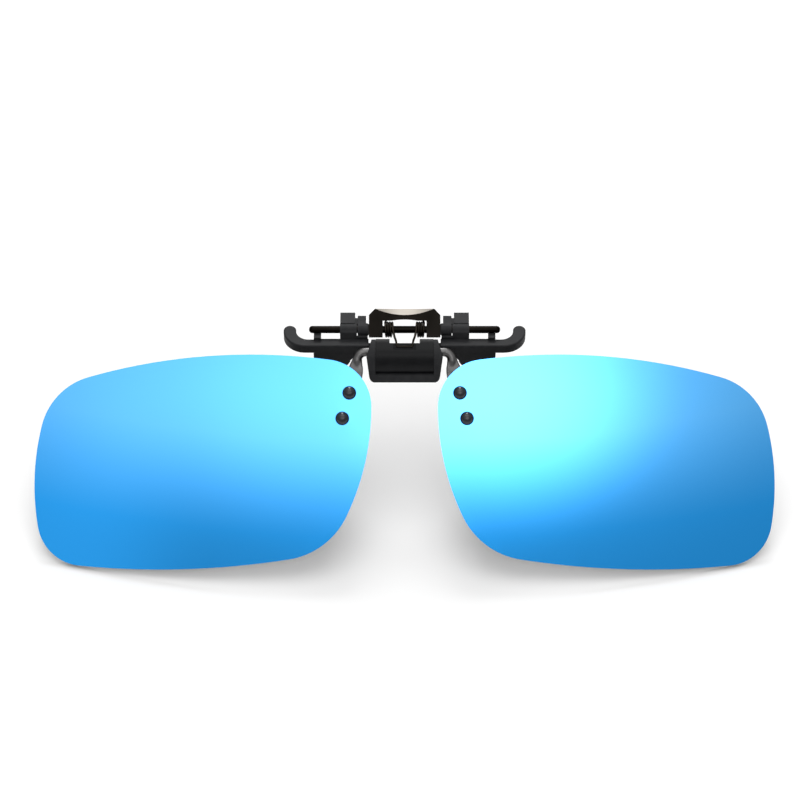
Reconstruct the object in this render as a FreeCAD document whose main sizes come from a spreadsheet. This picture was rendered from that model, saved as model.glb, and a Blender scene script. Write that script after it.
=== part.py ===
import FreeCAD, Part
import math
import os

V = FreeCAD.Vector
doc = FreeCAD.newDocument("clip_on_lenses")
sheet = doc.addObject("Spreadsheet::Sheet", "dims")

# Driving dimensions in millimetres and degrees.
D = {
    "seat_height": 1.1,        # rod axis above the plane where a spectacle rim touches
    "tilt": 44.0,              # lens plane from horizontal, as stored
    "rod_radius": 0.65,
    "rod_length": 33.2,
    "turn_gap": 0.05,          # radial clearance of a bore that turns on its shaft
    "pad_radius": 4.2,         # outer curve of the front finger pad
    "cover_thickness": 0.5,
    "pad_half_width": 6.6,
    "cover_half_width": 5.0,
    "arm_thickness": 1.65,
    "finger_thickness": 1.1,
    "sleeve_wall": 0.4,
    "sleeve_face": 0.55,
    "lever_leg_inner": 3.8,
    "lever_leg_outer": 6.2,
    "knuckle_inner": 6.35,
    "knuckle_outer": 8.15,
    "knuckle_radius": 1.1,
    "collar_inner": 8.3,
    "collar_outer": 11.2,
    "collar_radius": 1.0,
    "axle_radius": 0.8,        # bridge wire
    "bend_radius": 1.5,
    "lens_front_radius": 300.0,   # one dome shared by both lenses
    "lens_thickness": 1.0,
    "washer_thickness": 0.3,
    "paddle_thickness": 0.9,
    "rivet_head_radius": 1.2,
    "rivet_shank_radius": 0.58,
    "spring_wire_radius": 0.22,
    "spring_coil_radius": 1.22,
    "leaf_thickness": 0.2,
}
for row, (word, number) in enumerate(D.items(), start=1):
    sheet.set(f"A{row}", word)
    sheet.set(f"B{row}", str(number))
    sheet.setAlias(f"B{row}", word)
doc.recompute()

SIN = math.sin(math.radians(D["tilt"]))
COS = math.cos(math.radians(D["tilt"]))
SEAT = V(0, 0, D["seat_height"])
TILTED = FreeCAD.Rotation(V(1, 0, 0), D["tilt"])


def tilted(up, out):
    """(y, z) of a point given along the lens plane's up direction and its outward normal."""
    return (up * COS - out * SIN, up * SIN + out * COS)


# Flip axle and the centre of the front pad's curve, as (y, z) from the rod's axis.
AXLE = (-4.1, -1.37)
PAD_CENTRE = (-2.9, -3.6)
AXLE_UP = AXLE[0] * COS + AXLE[1] * SIN
AXLE_OUT = -AXLE[0] * SIN + AXLE[1] * COS


class Plan:
    """Outline drawn with lines and arcs, for a sketch."""

    def __init__(self, x, y):
        self.start = self.at = (x, y)
        self.parts = []

    def line(self, *points):
        for point in points:
            self.parts.append(Part.LineSegment(V(*self.at, 0), V(*point, 0)))
            self.at = point
        return self

    def arc(self, middle, end):
        self.parts.append(Part.Arc(V(*self.at, 0), V(*middle, 0), V(*end, 0)))
        self.at = end
        return self

    def close(self):
        return self.line(self.start).parts


def polygon(*points):
    return Plan(*points[0]).line(*points[1:]).close()


def circle(x, y, radius):
    return [Part.Circle(V(x, y, 0), V(0, 0, 1), radius)]


def box_outline(x0, y0, x1, y1):
    return polygon((x0, y0), (x1, y0), (x1, y1), (x0, y1))


def mirrored(point, side):
    return (side * point[0], point[1])


def body(label):
    made = doc.addObject("PartDesign::Body", label)
    made.Label = label
    made.Placement = FreeCAD.Placement(SEAT, FreeCAD.Rotation())
    return made


def sketch(owner, plane, parts, lift=0.0, turn=FreeCAD.Rotation()):
    made = owner.newObject("Sketcher::SketchObject", "sketch")
    origin = [f for f in owner.Origin.OriginFeatures if f.Role == plane][0]
    made.AttachmentSupport = [(origin, "")]
    made.MapMode = "FlatFace"
    made.AttachmentOffset = FreeCAD.Placement(turn.multVec(V(0, 0, lift)), turn)
    made.addGeometry(parts, False)
    return made


def pad(owner, plane, parts, lift, length, turn=FreeCAD.Rotation()):
    """Adds a prism. length is a number or a formula in the sheet's words."""
    made = owner.newObject("PartDesign::Pad", "pad")
    made.Profile = sketch(owner, plane, parts, lift, turn)
    if isinstance(length, str):
        made.setExpression("Length", length)
    else:
        made.Length = length
    doc.recompute()
    return made


def pocket(owner, plane, parts, lift, length, turn=FreeCAD.Rotation()):
    """Removes a prism that runs from the sketch against its normal."""
    before = owner.Shape.Volume
    made = owner.newObject("PartDesign::Pocket", "pocket")
    made.Profile = sketch(owner, plane, parts, lift, turn)
    made.Length = length
    doc.recompute()
    if owner.Shape.Volume > before - 1e-4:
        raise RuntimeError(f"a pocket of {owner.Label} removed nothing")
    return made


def round_edges(owner, radius, wanted):
    """Fillets the edges of the body's last shape that the test accepts."""
    names = [
        f"Edge{i}" for i, edge in enumerate(owner.Tip.Shape.Edges, start=1)
        if wanted(edge)
    ]
    base = owner.Tip
    made = owner.newObject("PartDesign::Fillet", "fillet")
    made.Base = (base, names)
    made.Radius = radius
    doc.recompute()
    return made


def span(side, inner, outer):
    """Start and length along X of something between two distances from the centre."""
    return (inner if side > 0 else -outer, outer - inner)


SIDES = {"left": -1, "right": 1}

# ---------------------------------------------------------------- pivot rod
rod = body("pivot_rod")
pad(rod, "YZ_Plane", circle(0, 0, D["rod_radius"]), -D["rod_length"] / 2, "dims.rod_length")
round_edges(rod, D["rod_radius"] * 0.9, lambda edge: edge.Length < 6)

# ---------------------------------------------------------------- front jaw
jaw = body("front_jaw")
HALF = D["pad_half_width"]
TRAY_RADIUS = D["pad_radius"] - D["cover_thickness"]


def pad_curve(radius, degrees):
    """Point of the pad's curve, counted forward from its top."""
    a = math.radians(degrees)
    return (PAD_CENTRE[0] - radius * math.sin(a), PAD_CENTRE[1] + radius * math.cos(a))


tray = Plan(*pad_curve(TRAY_RADIUS, 0))
tray.arc(pad_curve(TRAY_RADIUS, 45), pad_curve(TRAY_RADIUS, 90))
tray.line((-6.6, -4.7), (-5.4, -4.7), (-3.2, -3.2), (-2.4, -3.2), (-2.4, -0.1))
pad(jaw, "YZ_Plane", tray.close(), -HALF, "2 * dims.pad_half_width")
lip = polygon(tilted(-7.65, 0.9), tilted(-7.65, 2.4), tilted(-7.95, 2.8), tilted(-9.2, 2.55),
              tilted(-9.2, 1.2))
pad(jaw, "YZ_Plane", lip, -HALF, "2 * dims.pad_half_width")
RIM_RADIUS = D["pad_radius"] - 0.12
for side in SIDES.values():
    rim = Plan(*pad_curve(RIM_RADIUS, 0))
    rim.arc(pad_curve(RIM_RADIUS, 30), pad_curve(RIM_RADIUS, 60))
    rim.line(tilted(-7.9, 2.78), tilted(-7.95, 1.1), tilted(-4.6, 0.9), (-2.6, -0.1))
    start, length = span(side, D["cover_half_width"] + 0.05, HALF)
    pad(jaw, "YZ_Plane", rim.close(), start, length)
    # The pad narrows to its top and, below the axle, to its lip.
    corners = [(5.75, -0.6), (5.75, -1.8), (6.6, -4.8), (6.12, -8.3), (5.98, -8.7), (5.72, -9.03),
               (5.35, -9.2), (5.0, -9.3), (5.0, -9.9), (9.0, -9.9), (9.0, -0.6)]
    outside = polygon(*[mirrored(p, side) for p in corners])
    pocket(jaw, "XY_Plane", outside, 12, 24, TILTED)
BORE = D["axle_radius"] + 0.03
pocket(jaw, "YZ_Plane", circle(*AXLE, BORE), 10, 20)
NOTCH = box_outline(-2.6, -2.4, 2.6, 0.5)
GROOVE = box_outline(-1.95, -3.55, 1.95, -2.3)
GROOVE_FLOOR = 2.75
pocket(jaw, "XY_Plane", NOTCH, 12, 24, TILTED)
pocket(jaw, "XY_Plane", GROOVE, 12, 12 - GROOVE_FLOOR, TILTED)
# Slot for the leaf spring, under the axle.
LEAF_HALF = 3.8
pocket(jaw, "XY_Plane", box_outline(-LEAF_HALF - 0.1, -5.4, LEAF_HALF + 0.1, -4.4), 2.5, 1.2, TILTED)

ARM_TOP = -0.95
ARM_FRONT, ARM_REAR = -3.11, -1.31
ARM_INNER = 6.25
TIP_X, TIP_Y, TIP_RADIUS = 19.95, 0.95, 1.1
TURN_X = 16.7
FOOT = 0.2
FINGER_REAR = -1.7
FINGER_OUTER = 15.8
for side in SIDES.values():
    arm = Plan(side * ARM_INNER, ARM_FRONT)
    arm.line((side * 17.2, ARM_FRONT))
    arm.arc((side * 19.976, -1.929), (side * (TIP_X + TIP_RADIUS), TIP_Y - 0.06))
    arm.line((side * (TIP_X + TIP_RADIUS), TIP_Y))
    arm.arc((side * TIP_X, TIP_Y + TIP_RADIUS), (side * (TIP_X - TIP_RADIUS), TIP_Y))
    arm.arc((side * 18.26, -0.641), (side * TURN_X, ARM_REAR))
    arm.line((side * ARM_INNER, ARM_REAR))
    pad(jaw, "XY_Plane", arm.close(), ARM_TOP - D["arm_thickness"], "dims.arm_thickness")
    # Foot under the tip, which rests on the spectacle rim.
    pad(jaw, "XY_Plane", circle(side * (TIP_X - 0.05), TIP_Y, 0.85),
        ARM_TOP - D["arm_thickness"] - FOOT, FOOT + 0.2)
    # Bar behind the axle that ties the arm to the pad.
    start, length = span(side, 4.7, 6.6)
    pad(jaw, "YZ_Plane", box_outline(-3.05, -2.6, -1.7, -1.6), start, length)
    # Collar round the rod, on a web that rises from the arm.
    start, length = span(side, D["collar_inner"], D["collar_outer"])
    pad(jaw, "YZ_Plane", circle(0, 0, D["collar_radius"]), start, length)
    web = polygon((-0.6, 0.78), (-1.1, 0.35), (-1.42, -0.9), (-1.42, -1.6), (-0.6, -1.6),
                  (0.3, -0.9), (0, 0))
    pad(jaw, "YZ_Plane", web, start, length)
    # Low shoulder that stands just clear of the rear jaw's knuckle.
    start, length = span(side, D["knuckle_inner"] + 0.05, D["collar_inner"] + 0.1)
    shoulder = polygon((-1.22, -0.25), (-1.42, -0.5), (-1.42, -1.6), (-0.6, -1.6), (-0.6, -1.3))
    pad(jaw, "YZ_Plane", shoulder, start, length)
    # Post that cradles the rod near its end.
    start, length = span(side, 14.5, 15.75)
    pad(jaw, "YZ_Plane", box_outline(-1.7, -1.65, 0.15, -0.3), start, length)
    # Front finger.
    low = [(8.6, -2.5), (FINGER_OUTER, -2.5), (FINGER_OUTER, -5.6), (14.5, -8.8), (13.6, -9.7),
           (12.0, -9.7), (11.2, -8.8), (10.5, -6.2), (8.6, -3.7)]
    finger = polygon(*[mirrored(p, side) for p in low])
    pad(jaw, "XZ_Plane", finger, -FINGER_REAR, "dims.finger_thickness")
pocket(jaw, "YZ_Plane", circle(0, 0, D["rod_radius"]), 18, 36)
round_edges(jaw, 0.3, lambda edge: abs(edge.CenterOfMass.z - ARM_TOP) < 1e-3
            and edge.CenterOfMass.y < -1.5 and edge.Length > 4)

# ---------------------------------------------------------------- hinge cover
cover = body("hinge_cover")
panel = Plan(*pad_curve(D["pad_radius"], 0))
panel.arc(pad_curve(D["pad_radius"], 45), pad_curve(D["pad_radius"], 90))
panel.line(pad_curve(TRAY_RADIUS, 90))
panel.arc(pad_curve(TRAY_RADIUS, 45), pad_curve(TRAY_RADIUS, 0))
pad(cover, "YZ_Plane", panel.close(), -D["cover_half_width"], "2 * dims.cover_half_width")
pocket(cover, "XY_Plane", NOTCH, 12, 24, TILTED)
pocket(cover, "XY_Plane", GROOVE, 12, 12 - GROOVE_FLOOR, TILTED)

# ---------------------------------------------------------------- flip spring
leaf = body("flip_spring")
LEAF_TOP = AXLE_UP - D["axle_radius"] - 0.04
bow = Plan(-LEAF_HALF, LEAF_TOP - 0.4)
bow.arc((0, LEAF_TOP), (LEAF_HALF, LEAF_TOP - 0.4))
bow.line((LEAF_HALF, LEAF_TOP - 0.4 - D["leaf_thickness"]))
bow.arc((0, LEAF_TOP - D["leaf_thickness"]), (-LEAF_HALF, LEAF_TOP - 0.4 - D["leaf_thickness"]))
pad(leaf, "XY_Plane", bow.close(), 1.4, 1.0, TILTED)

# ---------------------------------------------------------------- upper lever
lever = body("upper_lever")
LEG_IN, LEG_OUT = D["lever_leg_inner"], D["lever_leg_outer"]
LEVER_TOP = 3.6
bar = Plan(-LEG_OUT, 0.9)
bar.line((-LEG_OUT, 2.5), (-5.15, LEVER_TOP), (5.15, LEVER_TOP), (LEG_OUT, 2.5), (LEG_OUT, 0.9))
bar.line((LEG_IN, 0.9), (LEG_IN, 1.52), (2.3, 1.52)).arc((0, 1.72), (-2.3, 1.52))
bar.line((-LEG_IN, 1.52), (-LEG_IN, 0.9))
pad(lever, "XY_Plane", bar.close(), -0.6, 1.4, TILTED)
for side in SIDES.values():
    near, far = sorted((side * LEG_IN, side * LEG_OUT))
    leg = box_outline(near, -1.4, far, 1.25)
    pad(lever, "XY_Plane", leg, -1.2, 2.4, TILTED)
BOSS = 0.95
DRIVE = polygon(tilted(BOSS, BOSS), tilted(BOSS, -BOSS), tilted(-BOSS, -BOSS), tilted(-BOSS, BOSS))
pocket(lever, "YZ_Plane", circle(0, 0, D["rod_radius"] + D["turn_gap"]), 8, 16)
pocket(lever, "YZ_Plane", DRIVE, LEG_OUT + 1, LEG_OUT + 1 - 5.0)
pocket(lever, "YZ_Plane", DRIVE, -5.0, LEG_OUT - 5.0)
# Scooped top, cut straight back.
SCOOP_Z = 2.32
scoop = Plan(-5.15, 3.1).arc((0, SCOOP_Z), (5.15, 3.1)).line((5.15, 6), (-5.15, 6))
pocket(lever, "XZ_Plane", scoop.close(), 2, 12)
# Seats for the ends of the spring's arms, in the underside of the bar.
SEAT_X, SEAT_OUT, SEAT_RADIUS = 3.2, 0.05, 0.32
for side in SIDES.values():
    pocket(lever, "XY_Plane", circle(side * SEAT_X, -SEAT_OUT, SEAT_RADIUS), 2.1, 1.2,
           FreeCAD.Rotation(V(1, 0, 0), D["tilt"] - 90))

# ---------------------------------------------------------------- rear jaws
for word, side in SIDES.items():
    rear = body(f"{word}_rear_jaw")
    start, length = span(side, D["knuckle_inner"], D["knuckle_outer"])
    pad(rear, "YZ_Plane", circle(0, 0, D["knuckle_radius"]), start, length)
    start, length = span(side, 5.05, D["knuckle_inner"] + 0.01)
    pad(rear, "YZ_Plane", DRIVE, start, length)
    start, length = span(side, 6.7, D["knuckle_outer"])
    tab = polygon((0, 1.08), (1.0, 1.0), (3.0, 0.4), (3.0, -1.1), (1.3, -1.1), (0.7, -0.6))
    pad(rear, "YZ_Plane", tab, start, length)
    start, length = span(side, 8.0, 9.0)
    pad(rear, "YZ_Plane", box_outline(1.6, -1.1, 3.0, -0.15), start, length)
    start, length = span(side, 8.6, D["collar_outer"])
    claw = polygon((1.4, 0.2), (4.0, 0.2), (4.0, -2.0), (1.0, -6.4), (-0.2, -6.4), (-0.2, -5.9),
                   (2.7, -2.0), (2.7, -1.1), (1.4, -1.1))
    pad(rear, "YZ_Plane", claw, start, length)
    low = [(8.9, -5.2), (11.2, -5.2), (14.1, -6.9), (14.1, -8.8), (13.3, -9.7), (11.8, -9.7),
           (10.8, -8.5), (9.8, -6.8), (8.9, -6.1)]
    pad(rear, "XZ_Plane", polygon(*[mirrored(p, side) for p in low]), -1.0, 1.2)
    pocket(rear, "YZ_Plane", circle(0, 0, D["rod_radius"] + D["turn_gap"]), 18, 36)

# ---------------------------------------------------------------- soft sleeves
WALL = D["sleeve_wall"]
for word, side in SIDES.items():
    front = body(f"{word}_front_sleeve")
    out = [(FINGER_OUTER + WALL, -5.9), (14.5 + WALL, -9.0), (13.8, -9.7 - WALL), (11.8, -9.7 - WALL),
           (11.2 - WALL, -9.0), (10.5 - WALL, -6.3), (10.5 - WALL, -5.9)]
    inner = [(FINGER_OUTER, -5.0), (FINGER_OUTER, -5.6), (14.5, -8.8), (13.6, -9.7), (12.0, -9.7),
             (11.2, -8.8), (10.5, -6.2), (9.3, -5.0)]
    pad(front, "XZ_Plane", polygon(*[mirrored(p, side) for p in out]),
        -FINGER_REAR - D["sleeve_face"], D["finger_thickness"] + D["sleeve_face"])
    pocket(front, "XZ_Plane", polygon(*[mirrored(p, side) for p in inner]), 4, 4 + FINGER_REAR)
    back = body(f"{word}_rear_sleeve")
    out = [(14.1 + WALL, -6.9), (14.1 + WALL, -9.0), (13.5, -9.7 - WALL), (11.6, -9.7 - WALL),
           (10.8 - WALL, -8.7), (9.9 - WALL, -7.2), (9.9 - WALL, -6.9)]
    inner = [(8.9, -5.2), (11.2, -5.2), (14.1, -6.9), (14.1, -8.8), (13.3, -9.7), (11.8, -9.7),
             (10.8, -8.5), (9.8, -6.8), (8.9, -6.1)]
    pad(back, "XZ_Plane", polygon(*[mirrored(p, side) for p in out]), -1.0, 1.75)
    pocket(back, "XZ_Plane", polygon(*[mirrored(p, side) for p in inner]), 0.2, 1.4)

# ---------------------------------------------------------------- torsion spring
WIRE = D["spring_wire_radius"]
COIL = D["spring_coil_radius"]


def rod_piece(a, b, radius):
    """Round bar between two points, with a ball at its end."""
    bar = doc.addObject("Part::Cylinder", "bar")
    bar.Radius = radius
    bar.Height = (b - a).Length
    bar.Placement = FreeCAD.Placement(a + SEAT, FreeCAD.Rotation(V(0, 0, 1), b - a))
    ball = doc.addObject("Part::Sphere", "ball")
    ball.Radius = radius
    ball.Placement = FreeCAD.Placement(b + SEAT, FreeCAD.Rotation())
    return [bar, ball]


def tilted_point(x, up, out):
    return V(x, *tilted(up, out))


TURNS = 4
PITCH = 1.8 * WIRE
spring_parts = []
for side in SIDES.values():
    for turn in range(TURNS):
        ring = doc.addObject("Part::Torus", "ring")
        ring.setExpression("Radius1", "dims.spring_coil_radius")
        ring.setExpression("Radius2", "dims.spring_wire_radius")
        ring.Placement = FreeCAD.Placement(
            V(side * (2.2 + turn * PITCH), 0, 0) + SEAT, FreeCAD.Rotation(V(0, 1, 0), 90))
        spring_parts.append(ring)
    # Inner end: out past the pad's top, then down into its groove.
    path = [tilted_point(side * 2.0, 0.1, COIL), tilted_point(side * 1.75, -1.3, 2.5),
            tilted_point(side * 1.5, -2.0, 3.05), tilted_point(side * 1.3, -3.0, 3.12)]
    for a, b in zip(path, path[1:]):
        spring_parts += rod_piece(a, b, WIRE)
    # Outer end: up into its seat in the lever's bar.
    spring_parts += rod_piece(tilted_point(side * 3.3, 1.2, 0),
                              tilted_point(side * SEAT_X, 1.8, SEAT_OUT), WIRE)
spring_parts += rod_piece(tilted_point(-1.3, -3.0, 3.12), tilted_point(1.3, -3.0, 3.12), WIRE)
spring = doc.addObject("Part::MultiFuse", "torsion_spring")
spring.Label = "torsion_spring"
spring.Shapes = spring_parts
doc.recompute()

# ---------------------------------------------------------------- lenses
# The lens outline is four large arcs joined by four corner arcs, as (x, up) from the rod's axis.
TOP = (26.75, -4.36, 104.5)
OUTER = (64.55, -27.22, 43.3)
BOTTOM = (43.5, -41.65, 149.4)
NOSE = (5.74, -13.41, 43.8)
EDGES = [
    (TOP[0], TOP[1] - TOP[2], TOP[2]),
    (OUTER[0] - OUTER[2], OUTER[1], OUTER[2]),
    (BOTTOM[0], BOTTOM[1] + BOTTOM[2], BOTTOM[2]),
    (NOSE[0] + NOSE[2], NOSE[1], NOSE[2]),
]
CORNERS = [(11.7, (58, -10)), (8.1, (58, -36)), (13.4, (14, -33)), (8.2, (12, -11))]
DOME_UP = -23.0   # height of the dome's middle; across, it is on the centre plane


def corner_centre(first, second, radius, near):
    """Centre of the arc of that radius inside two circles and touching both."""
    a = first[2] - radius
    b = second[2] - radius
    dx, dy = second[0] - first[0], second[1] - first[1]
    gap = math.hypot(dx, dy)
    along = (a * a - b * b + gap * gap) / (2 * gap)
    off = math.sqrt(a * a - along * along)
    ux, uy = dx / gap, dy / gap
    found = [(first[0] + along * ux - k * off * uy, first[1] + along * uy + k * off * ux)
             for k in (1, -1)]
    return min(found, key=lambda p: math.hypot(p[0] - near[0], p[1] - near[1]))


def on_circle(centre, radius, toward):
    """Point of a circle on the ray from its centre through a given point."""
    dx, dy = toward[0] - centre[0], toward[1] - centre[1]
    reach = math.hypot(dx, dy)
    return (centre[0] + dx / reach * radius, centre[1] + dy / reach * radius)


def lens_outline(side):
    joins = []
    for i, (radius, near) in enumerate(CORNERS):
        first, second = EDGES[i], EDGES[(i + 1) % 4]
        centre = corner_centre(first, second, radius, near)
        joins.append((on_circle(first[:2], first[2], centre), centre, radius,
                      on_circle(second[:2], second[2], centre)))
    parts = []
    for i, (enter, centre, radius, leave) in enumerate(joins):
        middle = ((enter[0] + leave[0]) / 2, (enter[1] + leave[1]) / 2)
        bulge = on_circle(centre, radius, middle)
        following = joins[(i + 1) % 4]
        edge = EDGES[(i + 1) % 4]
        chord = ((leave[0] + following[0][0]) / 2, (leave[1] + following[0][1]) / 2)
        crown = on_circle(edge[:2], edge[2], chord)
        for a, b, c in ((enter, bulge, leave), (leave, crown, following[0])):
            parts.append(Part.Arc(*[V(side * p[0], p[1], 0) for p in (a, b, c)]))
    return parts


# Depth of the spheres' common centre, so that the paddle meets the wire.
PADDLE_MIDDLE = D["lens_front_radius"] - D["lens_thickness"] - D["washer_thickness"] \
    - D["paddle_thickness"] / 2
MEET = (8.4, -6.4)
SPHERE_OUT = AXLE_OUT - math.sqrt(
    PADDLE_MIDDLE ** 2 - MEET[0] ** 2 - (DOME_UP - MEET[1]) ** 2)
RIVETS = {"upper": (9.55, -11.0), "lower": (10.76, -15.4)}


DOME_CENTRE = tilted_point(0, DOME_UP, SPHERE_OUT) + SEAT


def dome(formula):
    made = doc.addObject("Part::Sphere", "dome")
    made.setExpression("Radius", formula)
    made.Placement = FreeCAD.Placement(DOME_CENTRE, FreeCAD.Rotation())
    return made


def rivet_frame(side, place, radius):
    """Placement on the sphere of that radius, with Z along its outward normal."""
    x, up = place
    flat = math.hypot(x, up - DOME_UP)
    front = D["lens_front_radius"]
    seat = tilted_point(side * x, up, SPHERE_OUT + math.sqrt(front ** 2 - flat ** 2)) + SEAT
    normal = seat - DOME_CENTRE
    normal.normalize()
    return FreeCAD.Placement(DOME_CENTRE + normal * radius,
                             FreeCAD.Rotation(V(0, 0, 1), normal))


def domed_sheet(label, side, parts, outer_formula, inner_formula):
    """Prism on the outline, kept between two spheres and drilled for the rivets."""
    plan = doc.addObject("Sketcher::SketchObject", "outline")
    plan.addGeometry(parts, False)
    plan.Placement = FreeCAD.Placement(SEAT, TILTED)
    prism = doc.addObject("Part::Extrusion", "prism")
    prism.Base = plan
    prism.DirMode = "Normal"
    prism.LengthFwd = 10.0
    prism.LengthRev = 10.0
    prism.Solid = True
    kept = doc.addObject("Part::MultiCommon", "kept")
    kept.Shapes = [prism, dome(outer_formula)]
    hollow = doc.addObject("Part::Cut", "hollow")
    hollow.Base = kept
    hollow.Tool = dome(inner_formula)
    made = hollow
    for place in RIVETS.values():
        drill = doc.addObject("Part::Cylinder", "drill")
        drill.setExpression("Radius", "dims.rivet_shank_radius + 0.02")
        drill.Height = 8
        drill.Placement = rivet_frame(side, place, D["lens_front_radius"] - 4)
        drilled = doc.addObject("Part::Cut", "drilled")
        drilled.Base = made
        drilled.Tool = drill
        made = drilled
    made.Label = label
    doc.recompute()
    return made


def paddle_outline(side):
    plan = Plan(side * 7.4, -5.1)
    plan.line(*[mirrored(p, side) for p in ((7.2, -7.4), (7.5, -9.4), (8.0, -11.4), (9.25, -15.8))])
    plan.arc((side * 10.8, -17.0), (side * 12.2, -15.0))
    plan.line(*[mirrored(p, side) for p in ((11.0, -10.8), (9.85, -7.0), (8.95, -5.1))])
    return plan.close()


def washer_outline(side):
    plan = Plan(side * 8.0, -9.9)
    plan.line((side * 8.2, -11.4), (side * 9.4, -15.7))
    plan.arc((side * 10.8, -16.85), (side * 12.05, -15.0))
    plan.line((side * 10.9, -10.8), (side * 10.7, -9.9))
    return plan.close()


LENS_OUT = "dims.lens_front_radius"
LENS_IN = "dims.lens_front_radius - dims.lens_thickness"
STRIP_IN = LENS_IN + " - dims.washer_thickness"
PADDLE_IN = STRIP_IN + " - dims.paddle_thickness"
solids = {}
paddles = []
for word, side in SIDES.items():
    solids[f"{word}_lens"] = domed_sheet(f"{word}_lens", side, lens_outline(side), LENS_OUT, LENS_IN)
    solids[f"{word}_lens_pad"] = domed_sheet(
        f"{word}_lens_pad", side, washer_outline(side), LENS_IN, STRIP_IN)
    paddles.append(domed_sheet(
        f"{word}_paddle", side, paddle_outline(side), STRIP_IN, PADDLE_IN))

# ---------------------------------------------------------------- bridge wire
BEND_X = 6.75
BEND = D["bend_radius"]
DIAGONAL = BEND * math.sqrt(0.5)
LEG_X = BEND_X + BEND
LEG_LOW = AXLE_UP - BEND - 0.1
route = Plan(-LEG_X, LEG_LOW)
route.line((-LEG_X, AXLE_UP - BEND))
route.arc((-BEND_X - DIAGONAL, AXLE_UP - BEND + DIAGONAL), (-BEND_X, AXLE_UP))
route.line((BEND_X, AXLE_UP))
route.arc((BEND_X + DIAGONAL, AXLE_UP - BEND + DIAGONAL), (LEG_X, AXLE_UP - BEND))
route.line((LEG_X, LEG_LOW))
spine = doc.addObject("Sketcher::SketchObject", "spine")
spine.addGeometry(route.parts, False)
spine.Placement = FreeCAD.Placement(V(0, *tilted(0, AXLE_OUT)) + SEAT, TILTED)
section = doc.addObject("Sketcher::SketchObject", "section")
section.addGeometry(circle(0, 0, D["axle_radius"]), False)
section.Placement = FreeCAD.Placement(
    tilted_point(-LEG_X, LEG_LOW, AXLE_OUT) + SEAT, FreeCAD.Rotation(V(1, 0, 0), D["tilt"] - 90))
doc.recompute()
round_wire = doc.addObject("Part::Sweep", "round_wire")
round_wire.Sections = [section]
round_wire.Spine = (spine, [f"Edge{i + 1}" for i in range(len(spine.Shape.Edges))])
round_wire.Solid = True
doc.recompute()
wire = doc.addObject("Part::MultiFuse", "bridge_wire")
wire.Label = "bridge_wire"
# Below each bend the wire is hammered flat: a cone runs out into a neck, and the neck into the paddle.
NECK_BACK, NECK_THICKNESS = 0.5, 1.05
TAPER = 1.8
flats = []
for side in SIDES.values():
    neck = [(8.6, -4.4), (8.97, -5.0), (9.7, -6.6), (9.6, -7.5), (7.22, -7.5), (7.22, -6.6),
            (7.5, -5.4)]
    neck_plan = doc.addObject("Sketcher::SketchObject", "neck_plan")
    neck_plan.addGeometry(polygon(*[mirrored(p, side) for p in neck]), False)
    neck_plan.Placement = FreeCAD.Placement(
        V(0, *tilted(0, AXLE_OUT - NECK_BACK)) + SEAT, TILTED)
    flat = doc.addObject("Part::Extrusion", "neck")
    flat.Base = neck_plan
    flat.DirMode = "Normal"
    flat.LengthFwd = NECK_THICKNESS
    flat.Solid = True
    flats.append(flat)
    taper = doc.addObject("Part::Cone", "taper")
    taper.setExpression("Radius1", "dims.axle_radius")
    taper.Radius2 = 0.35
    taper.Height = TAPER
    taper.Placement = FreeCAD.Placement(
        tilted_point(side * LEG_X, LEG_LOW, AXLE_OUT) + SEAT,
        FreeCAD.Rotation(V(1, 0, 0), D["tilt"] + 90))
    flats.append(taper)
wire.Shapes = [round_wire] + flats + paddles
doc.recompute()
solids["bridge_wire"] = wire
solids["torsion_spring"] = spring

# ---------------------------------------------------------------- rivets
HEAD = D["rivet_head_radius"]
SHANK = D["rivet_shank_radius"]
GRIP = D["lens_thickness"] + D["washer_thickness"] + D["paddle_thickness"] + 0.02
for word, side in SIDES.items():
    for level, place in RIVETS.items():
        rivet = body(f"{word}_{level}_rivet")
        rivet.Placement = rivet_frame(side, place, D["lens_front_radius"])
        half = Plan(0, 0.85).arc((HEAD * 0.74, 0.55), (HEAD, 0.01))
        half.line((SHANK, 0.01), (SHANK, -GRIP), (1.0, -GRIP), (0.85, -GRIP - 0.35),
                  (0, -GRIP - 0.35))
        turned = rivet.newObject("PartDesign::Revolution", "turned")
        profile = sketch(rivet, "XZ_Plane", half.close())
        turned.Profile = profile
        turned.ReferenceAxis = (profile, ["V_Axis"])
        turned.Angle = 360
        doc.recompute()

# ---------------------------------------------------------------- write
doc.recompute()
for item in doc.Objects:
    if "Invalid" in item.State or "Error" in item.State:
        raise RuntimeError(f"{item.Label} did not rebuild: {item.State}")
for item in doc.Objects:
    if item.TypeId == "PartDesign::Body":
        solids[item.Label] = item
os.makedirs("parts", exist_ok=True)
for name, item in sorted(solids.items()):
    shape = item.Shape
    if shape.isNull() or not shape.isValid() or len(shape.Solids) != 1:
        raise RuntimeError(f"{name} is not one valid solid: {len(shape.Solids)}")
    shape.exportStep(f"parts/{name}.step")
    b = shape.BoundBox
    print(f"{name}: {shape.Volume:.2f} mm3, x {b.XMin:.2f}..{b.XMax:.2f}, "
          f"y {b.YMin:.2f}..{b.YMax:.2f}, z {b.ZMin:.2f}..{b.ZMax:.2f}")
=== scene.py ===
import math

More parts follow.
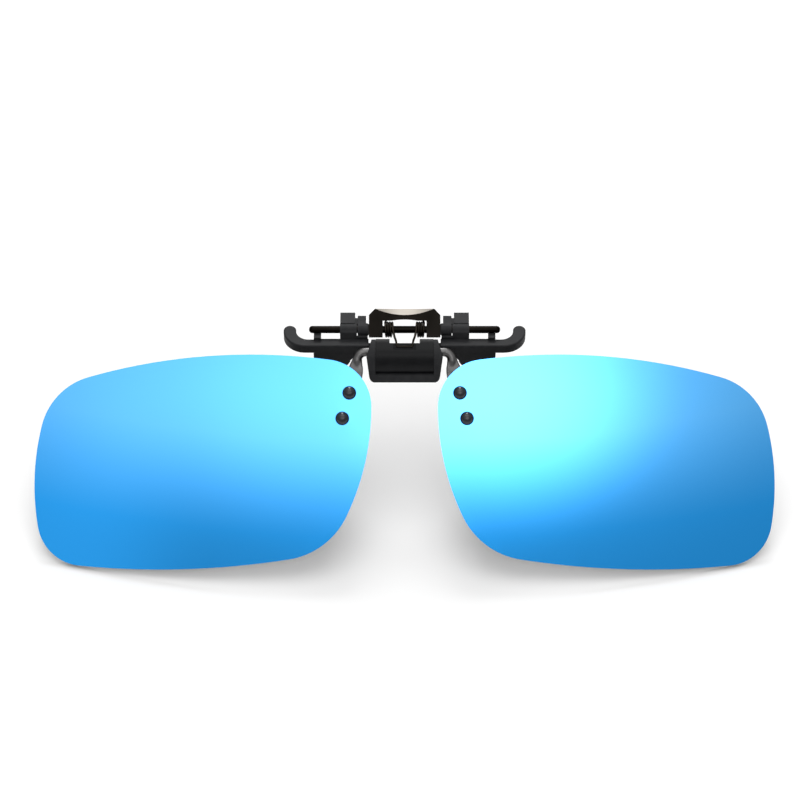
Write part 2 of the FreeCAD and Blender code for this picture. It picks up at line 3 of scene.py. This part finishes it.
import bpy
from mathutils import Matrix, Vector


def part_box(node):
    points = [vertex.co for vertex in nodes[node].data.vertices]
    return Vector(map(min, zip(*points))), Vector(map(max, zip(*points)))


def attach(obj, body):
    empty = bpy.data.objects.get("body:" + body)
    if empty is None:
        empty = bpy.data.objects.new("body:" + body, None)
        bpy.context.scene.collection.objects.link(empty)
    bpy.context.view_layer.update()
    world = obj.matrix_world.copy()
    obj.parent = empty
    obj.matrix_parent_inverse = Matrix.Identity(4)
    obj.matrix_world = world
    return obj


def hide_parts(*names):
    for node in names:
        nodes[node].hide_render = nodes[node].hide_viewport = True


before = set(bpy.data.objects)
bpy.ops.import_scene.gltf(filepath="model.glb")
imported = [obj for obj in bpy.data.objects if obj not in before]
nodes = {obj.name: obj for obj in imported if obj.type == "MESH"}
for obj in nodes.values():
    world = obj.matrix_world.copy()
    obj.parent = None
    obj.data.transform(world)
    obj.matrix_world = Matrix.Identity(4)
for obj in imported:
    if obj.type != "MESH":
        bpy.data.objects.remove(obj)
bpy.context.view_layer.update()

# Sizes are in metres.
TILT = math.radians(44)          # lens plane from horizontal; the camera looks straight at it
UP = Vector((0, math.cos(TILT), math.sin(TILT)))         # up the face of the lenses
OUT = Vector((0, -math.sin(TILT), math.cos(TILT)))       # out of the face of the lenses
ROD = Vector((0, 0, 0.0011))     # middle of the clamp's pivot rod

LENS_CHAMFER = 0.00013
SOFT_EDGE = 0.00012
SCOOP_HALF_WIDTH = 0.0052
SCOOP_ABOVE_ROD = 0.0018
BLEND_VOXEL = 0.00011


# ------------------------------------------------------------ materials
def new_material(name):
    material = bpy.data.materials.new(name)
    material.use_nodes = True
    tree = material.node_tree
    return material, tree, tree.nodes["Principled BSDF"]


def add(tree, kind, **inputs):
    node = tree.nodes.new(kind)
    for socket, value in inputs.items():
        node.inputs[socket.replace("_", " ")].default_value = value
    return node


def object_coordinates(tree):
    return tree.nodes.new("ShaderNodeTexCoord").outputs["Object"]


def noise(tree, scale, detail=3.0):
    node = add(tree, "ShaderNodeTexNoise", Scale=scale, Detail=detail)
    tree.links.new(object_coordinates(tree), node.inputs["Vector"])
    return node.outputs["Fac"]


def mapped(tree, value, low, high, from_low=0.3, from_high=0.7):
    node = add(tree, "ShaderNodeMapRange", From_Min=from_low, From_Max=from_high,
               To_Min=low, To_Max=high)
    tree.links.new(value, node.inputs["Value"])
    return node.outputs["Result"]


def mixed(tree, value, dark, light):
    node = tree.nodes.new("ShaderNodeValToRGB")
    node.color_ramp.elements[0].position = 0.3
    node.color_ramp.elements[1].position = 0.7
    node.color_ramp.elements[0].color = (*dark, 1)
    node.color_ramp.elements[1].color = (*light, 1)
    tree.links.new(value, node.inputs["Fac"])
    return node.outputs["Color"]


def surface(name, dark, light, rough, scale, metallic=0.0, bump=0.0, bump_scale=0.0,
            specular=0.5, rough_spread=0.04):
    """Plain finish whose colour, gloss and grain vary a little over the object."""
    material, tree, shader = new_material(name)
    blotch = noise(tree, scale)
    tree.links.new(mixed(tree, blotch, dark, light), shader.inputs["Base Color"])
    tree.links.new(mapped(tree, blotch, rough - rough_spread, rough + rough_spread),
                   shader.inputs["Roughness"])
    shader.inputs["Metallic"].default_value = metallic
    shader.inputs["Specular IOR Level"].default_value = specular
    if bump:
        grain = add(tree, "ShaderNodeBump", Strength=bump, Distance=0.00002)
        tree.links.new(noise(tree, bump_scale, 2.0), grain.inputs["Height"])
        tree.links.new(grain.outputs["Normal"], shader.inputs["Normal"])
    return material


NYLON = surface("grained_nylon", (0.012, 0.0125, 0.014), (0.019, 0.0195, 0.021), 0.5, 900,
                bump=0.8, bump_scale=5200, specular=0.16)
# Painted shade: the hinge cover's nylon is a darker copy of the arms' nylon, and smoother.
PAD_NYLON_PAINTED_SHADE = surface("smooth_nylon_painted_shade", (0.0036, 0.0038, 0.0045), (0.0056, 0.0059, 0.0068), 0.32, 500,
                    bump=0.15, bump_scale=3000, specular=0.13)
NICKEL = surface("black_nickel", (0.0045, 0.004, 0.0034), (0.0075, 0.0065, 0.0055), 0.15, 300,
                 metallic=1.0, rough_spread=0.03)
# Painted highlight: a light metal for the lever's thumb scoop, standing in for a reflection on
# the black nickel.
SCOOP_PAINTED_HIGHLIGHT = surface("scoop_painted_highlight", (0.29, 0.27, 0.242), (0.36, 0.337, 0.302), 0.52, 300,
                metallic=1.0, rough_spread=0.03)
GUNMETAL = surface("satin_gunmetal", (0.095, 0.094, 0.094), (0.15, 0.147, 0.147), 0.34, 700,
                   metallic=1.0)
STEEL = surface("spring_steel", (0.016, 0.0135, 0.011), (0.030, 0.025, 0.019), 0.24, 900,
                metallic=1.0)
RIVET = surface("gloss_black", (0.004, 0.005, 0.009), (0.007, 0.008, 0.013), 0.24, 900,
                specular=0.55)
RUBBER = surface("soft_rubber", (0.02, 0.02, 0.021), (0.03, 0.03, 0.031), 0.62, 900,
                 bump=0.4, bump_scale=3500)
STRIP = surface("clear_strip", (0.55, 0.56, 0.57), (0.68, 0.69, 0.70), 0.4, 800)


def mirror_coat():
    """Blue interference coat on a dark sheet: a coloured mirror, painted paler up high and a
    touch deeper low down as painted reflection.
    """
    material, tree, shader = new_material("blue_mirror_coat")
    split = tree.nodes.new("ShaderNodeSeparateXYZ")
    tree.links.new(object_coordinates(tree), split.inputs["Vector"])
    low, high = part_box("left_lens")
    # Painted reflection: the coat's colour runs paler towards the top of the lens and deeper
    # towards the bottom.
    height = mapped(tree, split.outputs["Z"], 0.0, 1.0, low.z, high.z)
    haze = noise(tree, 40, 1.0)
    blend = tree.nodes.new("ShaderNodeMath")
    blend.operation = "MULTIPLY_ADD"
    blend.inputs[1].default_value = 0.06         # how far the haze shifts the blend
    tree.links.new(haze, blend.inputs[0])
    tree.links.new(height, blend.inputs[2])
    tree.links.new(mixed(tree, blend.outputs[0], (0.030, 0.40, 1.0), (0.120, 0.495, 1.0)),
                   shader.inputs["Base Color"])
    shader.inputs["Metallic"].default_value = 1.0
    shader.inputs["Roughness"].default_value = 0.12
    return material


MIRROR = mirror_coat()
TINT = surface("dark_tint", (0.010, 0.012, 0.016), (0.016, 0.018, 0.022), 0.12, 60)
# Painted highlight: light grey on the lens's thin chamfer.
EDGE_PAINTED_HIGHLIGHT = surface("edge_painted_highlight", (0.42, 0.42, 0.40), (0.55, 0.54, 0.51), 0.3, 60)


# ------------------------------------------------------------ finishes of the CAD pieces
def finish_of(name):
    if "rivet" in name:
        return RIVET
    if name.endswith("_lens_pad"):
        return STRIP
    if "sleeve" in name:
        return RUBBER
    return {"bridge_wire": GUNMETAL, "pivot_rod": NICKEL, "upper_lever": NICKEL,
            "torsion_spring": STEEL, "flip_spring": STEEL,
            "hinge_cover": PAD_NYLON_PAINTED_SHADE}.get(name, NYLON)


def soften(piece, width):
    """Round the sharp edges of a piece a little."""
    bevel = piece.modifiers.new("soft_edges", "BEVEL")
    bevel.width = width
    bevel.segments = 2
    bevel.limit_method = "ANGLE"
    bevel.angle_limit = math.radians(40)
    bevel.harden_normals = True
    return bevel


for name, piece in nodes.items():
    piece.data.materials.clear()
    if name.endswith("_lens"):
        # The coat is on the outer face, the edge and the back show the dark sheet, and the thin
        # chamfer between them is painted light grey as a painted highlight.
        piece.data.materials.append(TINT)
        piece.data.materials.append(MIRROR)
        piece.data.materials.append(EDGE_PAINTED_HIGHLIGHT)
        for face in piece.data.polygons:
            face.material_index = 1 if face.normal.dot(OUT) > 0.5 else 0
        chamfer = soften(piece, LENS_CHAMFER)
        chamfer.material = 2
        continue
    piece.data.materials.append(finish_of(name))
    if name == "upper_lever":
        # The thumb scoop's up-facing faces get a light metal as a painted highlight on the black
        # nickel: its faces look up from above the lever's bar.
        piece.data.materials.append(SCOOP_PAINTED_HIGHLIGHT)
        for face in piece.data.polygons:
            on_top = face.center.z > ROD.z + SCOOP_ABOVE_ROD and face.normal.z > 0.85
            face.material_index = 1 if on_top and abs(face.center.x) < SCOOP_HALF_WIDTH else 0
    if name == "bridge_wire":
        # Hammered flat from round wire, so its steps run into each other.
        melt = piece.modifiers.new("melted_steps", "REMESH")
        melt.mode = "VOXEL"
        melt.voxel_size = BLEND_VOXEL
        melt.use_smooth_shade = True
        flow = piece.modifiers.new("flow", "SMOOTH")
        flow.factor = 0.5
        flow.iterations = 14
        continue
    soften(piece, SOFT_EDGE)

# ------------------------------------------------------------ torsion spring
# One wire wound into a helix on each side of the middle. Its two ends turn with the lever, and
# start far enough round the first turn that the helix stays whole when the lever is pressed.
COIL = 0.00122                   # radius of the winding
WIRE = 0.0002                    # radius of the wire
LAST = 1170                      # degrees of winding on each side
COIL_OUTER = 0.00338             # where the winding starts, from the middle of the clamp
COIL_LENGTH = 0.00134


def on_rod(across, up, out):
    """Point by its distances from the rod's middle: along it, up the lenses and out of them."""
    return ROD + Vector((across, 0, 0)) + UP * up + OUT * out


def coil_point(side, degrees):
    """Point of the helix, counted from its outer end to its inner one."""
    turn = math.radians(degrees)
    across = COIL_OUTER - COIL_LENGTH * degrees / LAST
    return on_rod(side * across, COIL * math.cos(turn), COIL * math.sin(turn))


def wire(name, points, body):
    """Round wire through the points, as a mesh that rides on a body."""
    curve = bpy.data.curves.new(name, "CURVE")
    curve.dimensions = "3D"
    curve.bevel_depth = WIRE
    curve.bevel_resolution = 3
    curve.use_fill_caps = True
    line = curve.splines.new("POLY")
    line.points.add(len(points) - 1)
    for place, point in zip(line.points, points):
        place.co = (*point, 1)
    mesh = bpy.data.meshes.new_from_object(bpy.data.objects.new(name + "_line", curve))
    mesh.shade_smooth()
    mesh.materials.clear()
    mesh.materials.append(STEEL)
    piece = bpy.data.objects.new(name, mesh)
    bpy.context.scene.collection.objects.link(piece)
    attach(piece, body)
    return piece


def half_spring(side):
    """The winding of one side, and its leg down to the notch of the front pad."""
    winding = [coil_point(side, degrees) for degrees in range(30, LAST + 1, 15)]
    leg = [(0.00175, -0.0013, 0.0025), (0.0015, -0.0020, 0.00305), (0.0013, -0.0030, 0.00312)]
    return winding + [on_rod(side * across, up, out) for across, up, out in leg]


spring = wire("wound_spring", half_spring(-1) + half_spring(1)[::-1], "front_clamp")
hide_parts("torsion_spring")
for word, side in (("left", -1), ("right", 1)):
    hook = [coil_point(side, degrees) for degrees in range(60, 5, -10)]
    wire(f"{word}_spring_end", hook + [on_rod(side * 0.0033, 0.00134, 0.00004),
                                       on_rod(side * 0.0032, 0.0018, 0.00005)], "rear_clamp")

# ------------------------------------------------------------ floor, light and camera
FLOOR_GAP = 0.00002
FLOOR_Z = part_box("left_lens")[0].z - FLOOR_GAP
bpy.ops.mesh.primitive_plane_add(size=6, location=(0, 0, FLOOR_Z))
floor = bpy.context.object
floor.name = "floor"
floor_material, _, floor_shader = new_material("pale_floor")
floor_shader.inputs["Base Color"].default_value = (0.93, 0.93, 0.93, 1)
floor_shader.inputs["Roughness"].default_value = 0.9
floor_shader.inputs["Specular IOR Level"].default_value = 0.1
floor.data.materials.append(floor_material)


LAMP_DISTANCE = 0.9


def softbox(name, toward, size, power):
    """Round lamp that shines on the clamp from the side given."""
    data = bpy.data.lights.new(name, "AREA")
    data.shape = "DISK"
    data.size = size
    data.energy = power
    lamp = bpy.data.objects.new(name, data)
    bpy.context.scene.collection.objects.link(lamp)
    toward = Vector(toward).normalized()
    lamp.location = ROD + toward * LAMP_DISTANCE
    lamp.rotation_euler = toward.to_track_quat("Z", "Y").to_euler()


softbox("top_softbox", (0.0, 0.0, 1.0), 0.7, 1.6)
softbox("back_softbox", (0.0, 0.72, 0.75), 0.34, 2.9)

# The room: dim low down, lighter overhead, with a wide and a narrow reflector card in front and a
# faint one at the left.
world = bpy.data.worlds.new("studio")
bpy.context.scene.world = world
world.use_nodes = True
sky = world.node_tree
background = sky.nodes["Background"]
background.inputs["Color"].default_value = (1, 1, 1, 1)
direction = sky.nodes.new("ShaderNodeTexCoord").outputs["Generated"]
CARD_ELEVATION = math.radians(50.5)
CARD_UP = Vector((0, math.sin(CARD_ELEVATION), math.cos(CARD_ELEVATION)))


def ramp(tree, value, stops):
    """Smooth grey ramp through (position, brightness) stops."""
    node = tree.nodes.new("ShaderNodeValToRGB")
    node.color_ramp.interpolation = "B_SPLINE"
    while len(node.color_ramp.elements) < len(stops):
        node.color_ramp.elements.new(0.5)
    for element, (position, share) in zip(node.color_ramp.elements, stops):
        element.position = position
        element.color = (share, share, share, 1)
    tree.links.new(value, node.inputs["Fac"])
    return node.outputs["Color"]


def scaled(tree, value, factor, plus=None):
    """The value times the factor, with another value added where one is given."""
    node = tree.nodes.new("ShaderNodeMath")
    node.operation = "MULTIPLY_ADD"
    node.inputs[1].default_value = factor
    node.inputs[2].default_value = 0.0
    tree.links.new(value, node.inputs[0])
    if plus is not None:
        tree.links.new(plus, node.inputs[2])
    return node.outputs["Value"]


def card(across, half_width, half_height, lift=0.0):
    """Soft oval patch of the room's brightness, from 0 at its rim to 1 in its middle."""
    mapping = sky.nodes.new("ShaderNodeMapping")
    mapping.vector_type = "TEXTURE"
    mapping.inputs["Location"].default_value = Vector((across, 0, 0)) + CARD_UP * lift
    mapping.inputs["Rotation"].default_value = (math.pi / 2 - CARD_ELEVATION, 0, 0)
    mapping.inputs["Scale"].default_value = (half_width, half_height, 1000)
    sky.links.new(direction, mapping.inputs["Vector"])
    oval = sky.nodes.new("ShaderNodeTexGradient")
    oval.gradient_type = "SPHERICAL"
    sky.links.new(mapping.outputs["Vector"], oval.inputs["Vector"])
    return ramp(sky, oval.outputs["Fac"], [(0.0, 0.0), (0.3, 0.25), (0.65, 0.9), (1.0, 1.0)])


split = sky.nodes.new("ShaderNodeSeparateXYZ")
sky.links.new(direction, split.inputs["Vector"])
room = ramp(sky, split.outputs["Z"],
            [(0.0, 0.25), (0.55, 0.40), (0.68, 0.62), (0.85, 0.85), (1.0, 1.0)])
total = scaled(sky, room, 0.95)
total = scaled(sky, card(-0.02, 0.56, 0.23), 1.2, total)
total = scaled(sky, card(0.14, 0.26, 0.21), 1.8, total)
total = scaled(sky, card(-0.47, 0.20, 0.50, lift=-0.20), 0.30, total)
sky.links.new(total, background.inputs["Strength"])

camera_data = bpy.data.cameras.new("camera")
camera = bpy.data.objects.new("camera", camera_data)
bpy.context.scene.collection.objects.link(camera)
DISTANCE = 0.6
FIELD = 0.1384                   # width seen at the lenses
SENSOR = 36                      # millimetres
camera_data.sensor_width = SENSOR
camera_data.lens = SENSOR * DISTANCE / FIELD
target = ROD + Vector((-0.0008, 0, 0)) - UP * 0.01223 + OUT * 0.002
camera.location = target + OUT * DISTANCE
camera.rotation_euler = (TILT, 0, 0)
bpy.context.scene.camera = camera
bpy.context.scene.view_settings.view_transform = "Standard"
